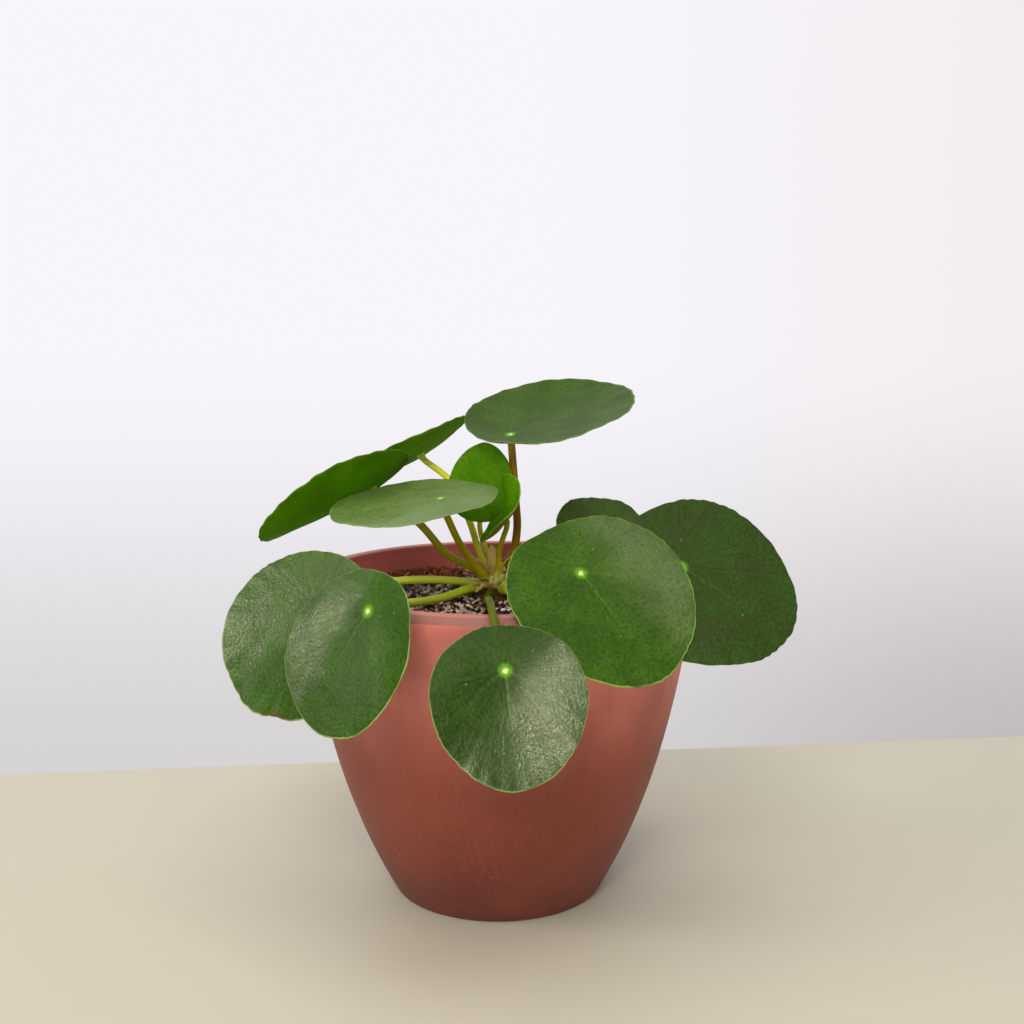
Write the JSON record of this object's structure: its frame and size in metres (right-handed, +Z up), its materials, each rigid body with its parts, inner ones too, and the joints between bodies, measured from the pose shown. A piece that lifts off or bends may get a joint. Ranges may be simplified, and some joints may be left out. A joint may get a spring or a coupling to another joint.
{
  "type": "potted houseplant",
  "caption": "Small pilea plant with round coin-shaped leaves on long stalks from a short stem, growing in a tapered pot filled with soil.",
  "frame": {"origin": "middle of the pot's foot, on the surface that the pot stands on", "axes": "+Z up along the pot's axis, -Y towards the viewer of the picture, +X to that viewer's right"},
  "size_m": [0.1863, 0.1749, 0.1813],
  "materials": {
    "pot": "matte",
    "soil": "matte",
    "stem": "matte",
    "leaf": "satin",
    "young_leaf": "satin",
    "petiole": "satin",
    "stipule": "matte"
  },
  "bodies": {
    "root": {"pot": "pot", "soil": "soil", "stem": "stem", "leaf_top_right": "leaf", "petiole_top_right": "petiole", "leaf_top_left": "leaf", "petiole_top_left": "petiole", "leaf_left_high": "leaf", "petiole_left_high": "petiole", "leaf_centre_left": "leaf", "petiole_centre_left": "petiole", "leaf_young_upright": "young_leaf", "petiole_young_upright": "petiole", "leaf_young_folded": "young_leaf", "petiole_young_folded": "petiole", "leaf_left_low_back": "leaf", "petiole_left_low_back": "petiole", "leaf_left_low_front": "leaf", "petiole_left_low_front": "petiole", "leaf_front": "leaf", "petiole_front": "petiole", "leaf_right_front": "leaf", "petiole_right_front": "petiole", "leaf_right_back": "leaf", "petiole_right_back": "petiole", "leaf_right_far": "leaf", "petiole_right_far": "petiole", "stipule_1": "stipule", "stipule_2": "stipule", "stipule_3": "stipule", "stipule_4": "stipule"}
  },
  "joints": []
}
